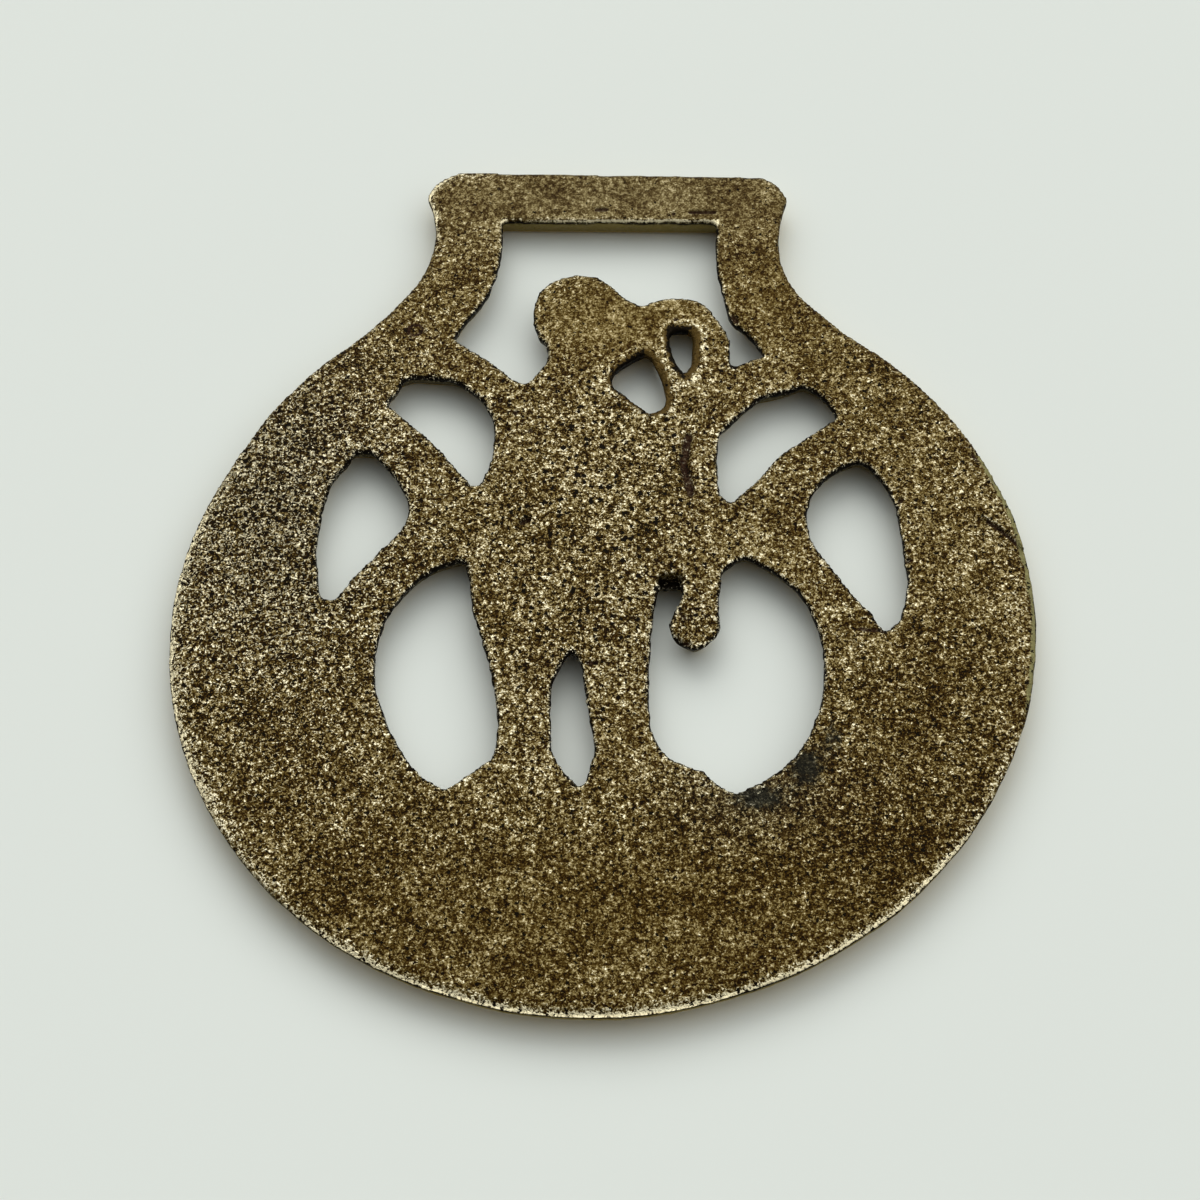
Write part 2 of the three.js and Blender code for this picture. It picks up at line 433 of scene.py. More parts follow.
    def _stained(
        self,
        material: bpy.types.Material,
        place: bpy.types.NodeSocket,
        colour: bpy.types.NodeSocket,
    ) -> bpy.types.NodeSocket:
        """Cools the colour in grey places, and darkens soot and scars.

        Args:
            material: the material.
            place: coordinates in millimetres.
            colour: the skin's colour.

        Returns:
            The stained colour.
        """
        node = partial(add_node, material)
        chill = node("ShaderNodeAttribute", {"attribute_name": Look.CHILL.value}).outputs["Fac"]
        chilled = node(
            "ShaderNodeHueSaturation", {"Hue": 0.515, "Saturation": 0.62}, {"Color": colour}
        ).outputs["Color"]
        colour = node("ShaderNodeMix", {"data_type": "RGBA"}, {0: chill, 6: colour, 7: chilled}).outputs[2]
        ragged = node(
            "ShaderNodeTexNoise",
            {"Scale": 1 / self.stain_edge, "Detail": 3.0, "Roughness": 0.7},
            {"Vector": place},
        ).outputs["Fac"]
        for look, stain in ((Look.SOOT, self.soot), (Look.SCAR, self.scar)):
            share = node("ShaderNodeAttribute", {"attribute_name": look.value}).outputs["Fac"]
            share = node("ShaderNodeMath", {"operation": "ADD"}, {0: share, 1: ragged}).outputs[0]
            share = node(
                "ShaderNodeMapRange", {"From Min": 0.75, "From Max": 1.15, "To Max": 0.9}, {"Value": share}
            ).outputs["Result"]
            colour = node(
                "ShaderNodeMix", {"data_type": "RGBA", 7: linear(stain)}, {0: share, 6: colour}
            ).outputs[2]
        return colour

    def _coated(
        self,
        material: bpy.types.Material,
        colour: bpy.types.NodeSocket,
        level: bpy.types.NodeSocket,
    ) -> bpy.types.NodeSocket:
        """Bare metal on worn edges, painted shade on the walls and a thin dark line at their top, painted
        light on their foot, and the bright front.

        Args:
            material: the material.
            colour: the back's colour.
            level: the print's level, which breaks the coats' edges up.

        Returns:
            The colour of the whole casting.
        """
        node = partial(add_node, material)
        for coat in self.coats:
            share = node("ShaderNodeAttribute", {"attribute_name": coat.look.value}).outputs["Fac"]
            share = node(
                "ShaderNodeMath", {"operation": "MULTIPLY_ADD", 1: coat.uneven}, {0: level, 2: share}
            ).outputs[0]
            share = node(
                "ShaderNodeMapRange", {"From Min": coat.start, "From Max": coat.full}, {"Value": share}
            ).outputs["Result"]
            colour = node(
                "ShaderNodeMix", {"data_type": "RGBA", 7: linear(coat.colour)}, {0: share, 6: colour}
            ).outputs[2]
        return colour


@dataclass(frozen=True)
class MattFloor:
    """A pale, matt painted board, very slightly green-grey. The eye gets soft shade and no shine."""

    colour: str = "dee2dd"
    roughness: float = 0.8
    shine: float = 0.2

    def build(self, name: str) -> bpy.types.Material:
        """Builds the material.

        Args:
            name: the material's name.

        Returns:
            The material.
        """
        material = bpy.data.materials.new(name)
        material.use_nodes = True
        shader = material.node_tree.nodes["Principled BSDF"]
        shader.inputs["Base Color"].default_value = linear(self.colour)
        shader.inputs["Roughness"].default_value = self.roughness
        shader.inputs["Specular IOR Level"].default_value = self.shine
        return material


# ---- Marks of making and use ----


@dataclass(frozen=True)
class Patch:
    """A soft-edged place on the back, in plate mm."""

    look: Look
    x: float
    y: float
    across: float  # half width
    up: float  # half height
    amount: float


@dataclass(frozen=True)
class RimStretch:
    """A stretch of the plate's rim that wear or filing has changed."""

    look: Look  # worn, bare or ground
    start: float  # degrees round the plate
    end: float
    width: float  # mm


class Scar(Enum):
    """Kinds of damage to the back."""

    PIT = "pit"
    GOUGE = "gouge"
    SHADED_POCKET = "pocket"
    RING = "ring"
    STEP = "step"


@dataclass(frozen=True)
class Blemish:
    """One scar: a run of points in plate mm, its half width and its depth in mm."""

    kind: Scar
    run: tuple[tuple[float, float], ...]
    reach: float
    depth: float
    stain: float = 1.0

    def distances(self, places: np.ndarray) -> tuple[np.ndarray, np.ndarray]:
        """How far places lie from the run, and on which side of it.

        Args:
            places: rows of x and y.

        Returns:
            Distances, and numbers that are positive to the left of the run.
        """
        run = np.array(self.run)
        if len(run) == 1:
            run = np.vstack([run, run + DOT])
        away = np.full(len(places), np.inf)
        side = np.zeros(len(places))
        for start, end in zip(run, run[1:]):
            leg = end - start
            share = np.clip(((places - start) @ leg) / (leg @ leg), 0.0, 1.0)
            off = places - start - share[:, None] * leg
            distance = np.hypot(off[:, 0], off[:, 1])
            closer = distance < away
            away = np.where(closer, distance, away)
            side = np.where(closer, leg[0] * off[:, 1] - leg[1] * off[:, 0], side)
        return away, side


# What the whole back has before the patches add to it or take from it
PLAIN_BACK = {Look.CRUST: 1.38, Look.LINES: 0.55, Look.PITS: 0.85, Look.GLINT_SPECKS: 0.25}

PATCHES = (
    Patch(Look.CRUST, 0, 49, 24, 5, -0.6),
    Patch(Look.CRUST, 17, 38, 9, 10, -0.5),
    Patch(Look.CRUST, 14, 6, 6, 6, -0.25),
    Patch(Look.CRUST, 3, -13, 3, 6, -0.25),
    Patch(Look.CRUST, 1, 34, 8, 5, -0.5),
    Patch(Look.CRUST, 24, 25, 10, 9, -0.15),
    Patch(Look.CRUST, 4, -31, 26, 9, -0.3),
    Patch(Look.CRUST, 31, 4, 8, 20, -0.15),
    Patch(Look.CRUST, -16, 38, 8, 10, -0.25),
    Patch(Look.CRUST, -31, 12, 9, 15, 0.5),
    Patch(Look.CRUST, 0, 10, 9, 20, 0.35),
    Patch(Look.CRUST, 8.7, 0, 2.5, 3, 0.4),
    Patch(Look.LINES, 0, 49, 22, 6, -0.5),
    Patch(Look.LINES, 1, 34, 8, 6, -0.4),
    Patch(Look.LINES, 0, 16, 9, 16, -0.15),
    Patch(Look.LINES, -30, 8, 10, 18, 0.75),
    Patch(Look.LINES, 0, -31, 30, 9, -0.15),
    Patch(Look.PITS, 0, 12, 10, 18, 0.65),
    Patch(Look.PITS, -31, 14, 8, 12, 0.3),
    Patch(Look.PITS, 0, 49, 22, 6, -0.3),
    Patch(Look.PITS, 1, 35, 7, 5, -0.4),
    Patch(Look.PITS, 24, 25, 8, 9, 0.2),
    Patch(Look.GLINT_SPECKS, 0, 45, 24, 9, -0.4),
    Patch(Look.GLINT_SPECKS, 0, 16, 9, 16, -0.3),
    Patch(Look.GLINT_SPECKS, -32, -2, 7, 16, 0.4),
    Patch(Look.GLINT_SPECKS, 20, -28, 14, 8, -0.2),
    Patch(Look.TONE, 1, 35, 9, 6, 0.02),
    Patch(Look.TONE, 0, 16, 9, 15, 0.018),
    Patch(Look.TONE, 14, 5, 5, 4, 0.05),
    Patch(Look.TONE, -6, -12, 4, 6, 0.04),
    Patch(Look.TONE, 0, 49, 24, 5, 0.012),
    Patch(Look.TONE, 24, -23, 12, 9, -0.062),
    Patch(Look.TONE, -29, 12, 9, 14, -0.035),
    Patch(Look.TONE, 31, 8, 7, 14, 0.012),
    Patch(Look.TONE, -29, -13, 6, 7, -0.03),
    Patch(Look.TONE, -20, -26, 8, 6, -0.03),
    Patch(Look.TONE, 30, -8, 6, 8, -0.03),
    Patch(Look.TONE, 2, -29, 12, 6, -0.025),
    Patch(Look.CHILL, 0, 49, 26, 7, 0.3),
    Patch(Look.CHILL, -29, 20, 9, 12, 0.12),
    Patch(Look.CHILL, 14, -18, 6, 4, 0.4),
    Patch(Look.SOOT, 14.3, -18.6, 2.6, 1.4, 0.85),
    Patch(Look.SOOT, 18.6, -15.6, 1.7, 2.2, 0.8),
    Patch(Look.SOOT, 20.9, -12.6, 1.0, 1.8, 0.6),
)

RIM_STRETCHES = (
    RimStretch(Look.WORN, 150, 222, 1.8),
    RimStretch(Look.WORN, 212, 345, 0.9),
    RimStretch(Look.BARE, 158, 215, 0.25),
    RimStretch(Look.BARE, 225, 330, 0.20),
    RimStretch(Look.BARE, 244, 292, 0.30),
    RimStretch(Look.GROUND, -18, 31, 0.35),
    # These two paint a highlight, as worn and bare metal, on the chamfer by the hanger's left ear, where it
    # catches the light.
    RimStretch(Look.WORN, 100, 114, 1.0),
    RimStretch(Look.BARE, 106, 113, 0.3),
)

BLEMISHES = (
    # Left of the neck, at the waist, down the upper arm, and the chipped step in the rim
    Blemish(Scar.RING, ((-18.7, 32.6),), 0.65, 0.1),
    Blemish(Scar.PIT, ((-7.35, 10.15), (-6.85, 10.45)), 0.42, 0.45),
    Blemish(Scar.GOUGE, ((7.9, 19.9), (7.5, 16.9), (8.2, 13.5)), 0.6, 0.3, 0.8),
    Blemish(Scar.STEP, ((35.7, 10.4), (36.6, 9.7), (37.7, 8.6), (38.5, 7.7)), 0.45, 0.35),
    # Two nicks in the bar, and the deep pocket where metal is missing beside the hand, which is painted black
    # all over as shade
    Blemish(Scar.GOUGE, ((-1.5, 47.7), (-0.5, 47.7)), 0.28, 0.2),
    Blemish(Scar.GOUGE, ((7.9, 47.3), (10.3, 47.3)), 0.28, 0.2),
    Blemish(Scar.SHADED_POCKET, ((5.9, 3.85), (6.9, 3.85)), 0.8, 1.6),
    # Gas pits, casting seams and small chips
    Blemish(Scar.PIT, ((6.2, 47.1),), 0.3, 0.2),
    Blemish(Scar.PIT, ((6.6, 33.8),), 0.35, 0.2),
    Blemish(Scar.PIT, ((-10.0, 24.1),), 0.32, 0.3),
    Blemish(Scar.PIT, ((-8.5, 22.7),), 0.32, 0.3),
    Blemish(Scar.PIT, ((-7.0, 20.6),), 0.32, 0.3),
    Blemish(Scar.PIT, ((-9.1, 20.8),), 0.32, 0.3),
    Blemish(Scar.GOUGE, ((-6.3, -19.3), (1.5, -19.2)), 0.2, 0.06, 0.2),
    Blemish(Scar.GOUGE, ((-0.8, -5.0), (0.0, -5.0)), 0.25, 0.2),
    Blemish(Scar.PIT, ((23.6, -1.4), (25.6, -1.6)), 0.25, 0.15),
    Blemish(Scar.GOUGE, ((7.0, -2.3), (7.6, -2.9), (8.3, -3.0)), 0.24, 0.3),
    Blemish(Scar.GOUGE, ((7.4, 0.3), (7.9, -0.4)), 0.2, 0.25),
    Blemish(Scar.PIT, ((34.5, 17.8), (34.9, 17.2)), 0.3, 0.3),
    Blemish(Scar.PIT, ((36.3, 15.1), (36.5, 14.6)), 0.3, 0.3),
    Blemish(Scar.PIT, ((27.6, 12.6),), 0.4, 0.3),
    Blemish(Scar.PIT, ((28.1, 6.0),), 0.4, 0.3),
    Blemish(Scar.PIT, ((12.1, 34.2), (12.5, 33.6)), 0.35, 0.3),
)


# ---- The casting ----


@dataclass
class Edge:
    """Closely spaced points along edges of the back face, each with its direction out of the metal."""

    places: np.ndarray
    outwards: np.ndarray

    def distances(self, places: np.ndarray) -> tuple[np.ndarray, np.ndarray]:
        """How far places lie inside the edge, seen from above.

        Args:
            places: rows of x, y and z.

        Returns:
            Distances, which are negative beyond the edge, and the outward direction at the nearest point.
        """
        tree = KDTree(len(self.places))
        for number, place in enumerate(self.places):
            tree.insert((place[0], place[1], 0.0), number)
        tree.balance()
        found = [tree.find((x, y, 0.0)) for x, y, _ in places]
        nearest = np.array([number for _, number, _ in found])
        away = np.array([distance for _, _, distance in found])
        outwards = self.outwards[nearest]
        beyond = ((places[:, :2] - self.places[nearest]) * outwards).sum(axis=1) > 0
        return np.where(beyond, -away, away), outwards


@dataclass
class Surface:
    """The casting's points while it is shaped and dressed. Lengths are in mm, from the plate's centre."""

    places: np.ndarray  # rows of x, y and z, which the shaping moves
    thickness: float
    rim_in: np.ndarray  # how far each point first lay inside the rim
    rim_outwards: np.ndarray  # directions out over the rim
    hole_in: np.ndarray  # how far it first lay inside the metal beside an opening
    hole_outwards: np.ndarray  # directions out into that opening
    looks: dict[Look, np.ndarray] = field(init=False)
    height: np.ndarray = field(init=False)  # over the front, before any shaping
    back: np.ndarray = field(init=False)  # 1 on the back face, and 0 from 0.6 mm below it

    def __post_init__(self) -> None:
        """Notes the first heights and starts every look at 0."""
        self.height = self.places[:, 2].copy()
        self.back = smooth_step(self.height, self.thickness - 0.6, self.thickness - 0.2)
        self.looks = {look: np.zeros(len(self.places)) for look in Look}

    def strengthen(self, look: Look, values: np.ndarray) -> None:
        """Makes a look at least as strong as the values."""
        self.looks[look] = np.maximum(self.looks[look], values)

    def noise(self, share: np.ndarray, wavelength: float, seed: float) -> np.ndarray:
        """Noise where a share is over 0.

        Args:
            share: the share at each point.
            wavelength: size of the broadest lumps.
            seed: shifts the pattern.

        Returns:
            About -1 to 1 there, and 0 elsewhere.
        """
        chosen = share > 0
        values = np.zeros(len(self.places))
        values[chosen] = noise_at(self.places[chosen], wavelength, seed)
        return values

    def round_arm(self) -> np.ndarray:
        """Marks the surroundings of the two little holes in the raised arm.

        Returns:
            1 there and 0 away from them.
        """
        x, y = self.places[:, 0], self.places[:, 1]
        across = smooth_step(x, -0.6, 0.2) * smooth_step(x, 10.2, 9.4)
        return across * smooth_step(y, 21.4, 22.0) * smooth_step(y, 34.6, 33.8)

    def by_bar(self) -> np.ndarray:
        """1 along the slot's top edge, which the strap has polished, and 0 away from it."""
        x, y = self.places[:, 0], self.places[:, 1]
        return smooth_step(np.abs(x), 11.6, 10.8) * smooth_step(y, 45.2, 45.8)


@dataclass
class Casting:
    """The horse brass itself: the CAD casting with its rough edges, pits, scars and rounded front."""

    centre: Vector  # the plate's centre, on the surface that the front rests on
    thickness: float
    facet: float = 0.35 * MM  # spacing of the fine mesh
    edge_spacing: float = 0.05 * MM  # between the points that stand for an edge
    weld: float = 0.002 * MM  # corners closer than this are one
    level: float = 0.01 * MM  # how far the back's corners may lie below its highest
    upward: float = 0.99  # a face that points up at least this much is level
    refined_from: float = 0.8  # share of the thickness above which a blemish's facets are halved
    scar_margin: float = 0.4  # mm round a blemish that gets facets of half the size
    opening_fray: float = 0.13  # mm, how far the openings' edges stray
    rim_wave: float = 0.12  # mm, how far the rim strays slowly
    rim_fray: float = 0.05  # mm, how far it strays from point to point
    side: float = 1.1  # mm from the back down to where the front's rounding starts
    rounding: float = 2.2  # mm in from an edge to where the front is flat
    groove_in: float = 3.6  # mm in from the rim to the front's groove
    groove_half_width: float = 0.45  # mm
    groove_depth: float = 0.25  # mm
    swell: float = 0.05  # mm, the back's broad unevenness
    lumps: float = 0.025  # mm, its narrow unevenness
    dressed_off: float = 0.12  # mm that wear and filing took off the rim
    dressed_fade: float = 8.0  # degrees over which a dressed stretch of the rim ends
    lip_in: float = 0.35  # mm from a little hole's edge to the middle of its raised lip
    lip_half_width: float = 0.3  # mm
    lip_height: float = 0.12  # mm
    lip_drop: float = 0.35  # mm that the walls under the lips turn black, with painted shade, lower down
    black_at: tuple[float, float] = (2.85, 2.6)  # heights between which the walls turn black with painted shade
    olive_at: tuple[float, float] = (2.65, 2.2)  # and then olive, with painted light thrown up from the floor
    bright_at: tuple[float, float] = (0.9, 0.5)  # and then bright, near the front
    rim_bright_at: tuple[float, float] = (2.3, 1.8)  # the rim's wall is already partly bright here
    rim_band: tuple[float, float] = (2.2, 1.4)  # mm in from the rim, between which its own wall begins
    finish: TarnishedCastBrass = field(default_factory=TarnishedCastBrass)

    def build(self, node: bpy.types.Object) -> bpy.types.Object:
        """Makes the finished piece around the CAD node.

        Args:
            node: the CAD node that the piece stands for.

        Returns:
            The piece, in the scene, in its place.
        """
        solid = self._merged_copy(node)
        rim, openings = self._edges_of_back(solid)
        piece = self._remeshed(solid, "horse_brass_casting")
        self._refine_near_blemishes(piece.data)
        surface = self._surface(piece.data, rim, openings)
        self._patch(surface)
        self._fray_edges(surface)
        self._round_front(surface)
        self._roughen_back(surface)
        self._dress_rim(surface)
        self._wear_openings(surface)
        self._paint_wall_shade_and_light(surface)
        for blemish in BLEMISHES:
            self._scar(surface, blemish)
        self._store(surface, piece.data)
        piece.data.materials.append(self.finish.build("tarnished_cast_brass"))
        return piece

    def _merged_copy(self, node: bpy.types.Object) -> bmesh.types.BMesh:
        """Copies the node's mesh with its loose triangles joined.

        Args:
            node: the CAD node.

        Returns:
            The casting as one closed mesh.
        """
        solid = bmesh.new()
        solid.from_mesh(node.data)
        bmesh.ops.remove_doubles(solid, verts=solid.verts, dist=self.weld)
        return solid

    def _edges_of_back(self, solid: bmesh.types.BMesh) -> tuple[Edge, Edge]:
        """Finds the edges of the back face.

        Args:
            solid: the casting as one closed mesh.

        Returns:
            The rim with the hanger's outside, and all the openings.
        """
        # The back's sides are those that it shares with a face that isn't level.
        top = max(vert.co.z for vert in solid.verts)
        sides = {}
        for face in solid.faces:
            if min(vert.co.z for vert in face.verts) > top - self.level:
                for loop in face.loops:
                    if any(other.normal.z < self.upward for other in loop.edge.link_faces):
                        sides[loop.vert.co.xy.freeze()] = loop.link_loop_next.vert.co.xy.freeze()
        first = min(sides, key=lambda place: place.y)
        rim = {first}
        place = sides[first]
        while place != first:
            rim.add(place)
            place = sides[place]
        return tuple(
            self._edge([(a, b) for a, b in sides.items() if (a in rim) is on_rim]) for on_rim in (True, False)
        )

    def _edge(self, sides: list[tuple[Vector, Vector]]) -> Edge:
        """Puts points along straight sides.

        Args:
            sides: start and end of each, with the metal on the left.

        Returns:
            The points and their outward directions.
        """
        places = []
        outwards = []
        for start, end in sides:
            run = end - start
            steps = max(1, round(run.length / self.edge_spacing))
            for step in range(steps):
                places.append(start + run * ((step + 0.5) / steps))
                outwards.append((run.y / run.length, -run.x / run.length))
        return Edge(np.array(places), np.array(outwards))

    def _remeshed(self, solid: bmesh.types.BMesh, name: str) -> bpy.types.Object:
        """Turns the solid into an even, fine mesh of quads.

        Args:
            solid: the casting as one closed mesh, which is used up.
            name: the piece's name.

        Returns:
            The new object.
        """
        mesh = bpy.data.meshes.new(name)
        solid.to_mesh(mesh)
        solid.free()
        piece = bpy.data.objects.new(name, mesh)
        bpy.context.scene.collection.objects.link(piece)
        remesh = piece.modifiers.new("even_facets", "REMESH")
        remesh.mode = "VOXEL"
        remesh.voxel_size = self.facet
        remesh.use_smooth_shade = True
        evaluated = piece.evaluated_get(bpy.context.evaluated_depsgraph_get())
        fine = bpy.data.meshes.new_from_object(evaluated)
        piece.modifiers.clear()
        piece.data = fine
        fine.name = name
        bpy.data.meshes.remove(mesh)
        return piece

    def _refine_near_blemishes(self, mesh: bpy.types.Mesh) -> None:
        """Halves the facets of the back around each blemish, so that small scars keep their shape.

        Args:
            mesh: the fine mesh.
        """
        fine = bmesh.new()
        fine.from_mesh(mesh)
        middle = self.centre.xy
        near = set()
        for blemish in BLEMISHES:
            run = [middle + Vector(point) * MM for point in blemish.run]
            reach = (blemish.reach + self.scar_margin) * MM
            legs = list(zip(run, run[1:])) or [(run[0], run[0] + Vector((DOT * MM, 0.0)))]
            low = Vector((min(p.x for p in run) - reach, min(p.y for p in run) - reach))
            high = Vector((max(p.x for p in run) + reach, max(p.y for p in run) + reach))
            for vert in fine.verts:
                place = vert.co.xy
                if vert.co.z < self.refined_from * self.thickness or not (
                    low.x < place.x < high.x and low.y < place.y < high.y
                ):
                    continue
                if any(self._leg_distance(place, a, b) < reach for a, b in legs):
                    near.add(vert)
        edges = [edge for edge in fine.edges if edge.verts[0] in near and edge.verts[1] in near]
        bmesh.ops.subdivide_edges(fine, edges=edges, cuts=1, use_grid_fill=True)
        fine.to_mesh(mesh)
        fine.free()

    def _leg_distance(self, place: Vector, start: Vector, end: Vector) -> float:
        """Distance from a place to a straight run between two points.

        Args:
            place: the place.
            start: the run's start.
            end: its end.

        Returns:
            The distance.
        """
        run = end - start
        share = min(1.0, max(0.0, (place - start).dot(run) / run.length_squared))
        return (place - start - run * share).length

    def _surface(self, mesh: bpy.types.Mesh, rim: Edge, openings: Edge) -> Surface:
        """Reads the fine mesh's points and where they lie from the edges.

        Args:
            mesh: the fine mesh.
            rim: the rim's edge.
            openings: the openings' edges.

        Returns:
            The points, ready to be shaped.
        """
        places = np.empty(3 * len(mesh.vertices))
        mesh.vertices.foreach_get("co", places)
        places = places.reshape(-1, 3)
        rim_in, rim_outwards = rim.distances(places)
        hole_in, hole_outwards = openings.distances(places)
        local = (places - np.array(self.centre)) / MM
        return Surface(local, self.thickness / MM, rim_in / MM, rim_outwards, hole_in / MM, hole_outwards)

    def _patch(self, surface: Surface) -> None:
        """Gives the back its stronger, paler, greyer and sootier places.

        Args:
            surface: the casting's points, of which the looks are changed.
        """
        for look, amount in PLAIN_BACK.items():
            surface.looks[look] += amount
        x, y = surface.places[:, 0], surface.places[:, 1]
        for patch in PATCHES:
            off = ((x - patch.x) / patch.across) ** 2 + ((y - patch.y) / patch.up) ** 2
            surface.looks[patch.look] += patch.amount * np.exp(-off)

    def _fray_edges(self, surface: Surface) -> None:
        """Makes the outlines of the openings and the rim uneven, and less so toward the front.

        Args:
            surface: the casting's points, which are moved sideways.
        """
        near = smooth_step(np.abs(surface.hole_in), 0.9, 0.2) * smooth_step(surface.height, 0.8, 2.0)
        fray = near * self.opening_fray * surface.noise(near, wavelength=0.9, seed=3.0)
        surface.places[:, :2] += surface.hole_outwards * fray[:, None]
        near = smooth_step(np.abs(surface.rim_in), 1.6, 0.3)
        fray = near * (
            self.rim_wave * surface.noise(near, wavelength=7.0, seed=5.0)
            + self.rim_fray * surface.noise(near, wavelength=1.1, seed=6.0)
        )
        surface.places[:, :2] += surface.rim_outwards * fray[:, None]

    def _round_front(self, surface: Surface) -> None:
        """Rounds the front's edges, and cuts a plain groove inside its rim.

        Args:
            surface: the casting's points, which are moved up.
        """
        inside = np.clip(np.minimum(surface.rim_in, surface.hole_in), 0.0, self.rounding) / self.rounding
        depth = self.side + (surface.thickness - self.side) * np.sqrt(1.0 - (1.0 - inside) ** 2)
        surface.places[:, 2] = np.maximum(surface.places[:, 2], surface.thickness - depth)
        groove = np.exp(-(((surface.rim_in - self.groove_in) / self.groove_half_width) ** 2))
        groove *= smooth_step(surface.hole_in, 1.8, 2.6)
        front = smooth_step(surface.height, 0.6, 0.2)
        surface.places[:, 2] += front * self.groove_depth * groove

    def _roughen_back(self, surface: Surface) -> None:
        """Gives the back its unevenness.

        Args:
            surface: the casting's points, which are moved up and down.
        """
        surface.places[:, 2] += surface.back * (
            self.swell * surface.noise(surface.back, wavelength=11.0, seed=1.0)
            + self.lumps * surface.looks[Look.CRUST] * surface.noise(surface.back, wavelength=0.9, seed=2.0)
        )

    def _dress_rim(self, surface: Surface) -> None:
        """Wears and files the rim's top edge along its stretches.

        Args:
            surface: the casting's points, which are moved down, and of which the looks are changed.
        """
        angle = np.degrees(np.arctan2(surface.places[:, 1], surface.places[:, 0]))
        for stretch in RIM_STRETCHES:
            middle = 0.5 * (stretch.start + stretch.end)
            off = np.abs((angle - middle + 180.0) % 360.0 - 180.0)
            half = 0.5 * (stretch.end - stretch.start)
            share = smooth_step(off, half, max(0.0, half - self.dressed_fade))
            share = share * smooth_step(surface.rim_in, stretch.width, 0.2 * stretch.width)
            share = share * smooth_step(surface.height, 2.74, 2.9)
            surface.strengthen(stretch.look, share)
            surface.places[:, 2] -= surface.back * share * self.dressed_off

    def _wear_openings(self, surface: Surface) -> None:
        """Raises the lips of the two little holes, and rubs them and the openings' edges bright.

        Args:
            surface: the casting's points, which are moved up, and of which the looks are changed.
        """
        lip = np.exp(-(((surface.hole_in - self.lip_in) / self.lip_half_width) ** 2))
        lip = surface.round_arm() * lip * surface.back
        surface.places[:, 2] += self.lip_height * lip
        surface.strengthen(Look.WORN, 1.1 * lip)
        surface.strengthen(Look.WORN, 0.6 * smooth_step(surface.hole_in, 0.65, 0.25) * surface.back)
        strap = smooth_step(surface.hole_in, 0.28, 0.1) * smooth_step(surface.height, 2.75, 2.9)
        surface.strengthen(Look.BARE, surface.by_bar() * strap)

    def _paint_wall_shade_and_light(self, surface: Surface) -> None:
        """Paints the walls: black painted shade at the top, olive painted light at the foot, brown in the
        little holes, bright below.

        Args:
            surface: the casting's points, of which the looks are changed.
        """
        height, hole_in, looks = surface.height, surface.hole_in, surface.looks
        arm, bar = surface.round_arm(), surface.by_bar()
        by_rim = smooth_step(surface.rim_in, *self.rim_band)

        # The black is painted shade on the walls, and it runs a little way over the edge as a thin dark line.
        #         It starts lower under the lips of the little holes, and their walls that face left or toward
        #         the hanger, which the light reaches, are brown without it.
        over_edge = smooth_step(hole_in, 0.38, 0.08) * (1.0 - bar) * (1.0 - 0.8 * arm)
        black_from, black_full = (at - self.lip_drop * arm for at in self.black_at)
        under_top = smooth_step(height, black_from, black_full)
        under_lip = arm * smooth_step(hole_in, 0.0, -0.2)
        facing = surface.hole_outwards[:, 0] - 0.5 * surface.hole_outwards[:, 1]
        brown = arm * smooth_step(facing, 0.5, -0.2)
        black = np.maximum.reduce([over_edge, under_top, under_lip])
        looks[Look.WALL] = black * (1.0 - 0.25 * bar) * (1.0 - brown)
        looks[Look.RING] = arm * smooth_step(hole_in, 0.08, -0.12)
        # Painted light: the walls' foot is olive, as if lit from the floor.
        foot = np.maximum.reduce([bar, by_rim, 0.6 * (1.0 - arm)])
        looks[Look.DEPTH] = smooth_step(height, *self.olive_at) * foot
        # The rim's wall is painted partly bright from these heights down.
        bright_rim_wall = 0.75 * smooth_step(height, *self.rim_bright_at) * by_rim
        looks[Look.FRONT] = np.maximum(smooth_step(height, *self.bright_at), bright_rim_wall)

    def _scar(self, surface: Surface, blemish: Blemish) -> None:
        """Presses a blemish into the back.

        Args:
            surface: the casting's points, which are moved down, and of which the looks are changed.
            blemish: the blemish.
        """
        away, side = blemish.distances(surface.places[:, :2])
        stained = hit = smooth_step(away, blemish.reach, 0.35 * blemish.reach)
        if blemish.kind is Scar.RING:
            stained = hit = np.exp(-(((away - blemish.reach) / 0.16) ** 2))
        elif blemish.kind is Scar.STEP:
            # The metal to the right of the run lies lower, and the edge above it is worn.
            low_side = smooth_step(side, 0.02, -0.02)
            hit = low_side * smooth_step(away, 2.2, 0.1)
            stained = low_side * smooth_step(away, blemish.reach, 0.5 * blemish.reach)
            surface.strengthen(Look.WORN, (1 - low_side) * smooth_step(away, 0.35, 0.1) * surface.back)
        elif blemish.kind is Scar.SHADED_POCKET:
            # Painted shade: the pocket is black all over.
            surface.strengthen(Look.WALL, hit * surface.back)
        surface.places[:, 2] -= surface.back * blemish.depth * hit
        surface.strengthen(Look.SCAR, blemish.stain * stained * surface.back)

    def _store(self, surface: Surface, mesh: bpy.types.Mesh) -> None:
        """Puts the shaped points and their looks into the mesh.

        Args:
            surface: the casting's points.
            mesh: the fine mesh.
        """
        places = surface.places * MM + np.array(self.centre)
        mesh.vertices.foreach_set("co", places.ravel())
        for look, values in surface.looks.items():
            mesh.attributes.new(look.value, "FLOAT", "POINT").data.foreach_set("value", values)
        mesh.update()


# ---- Floor, light and camera ----


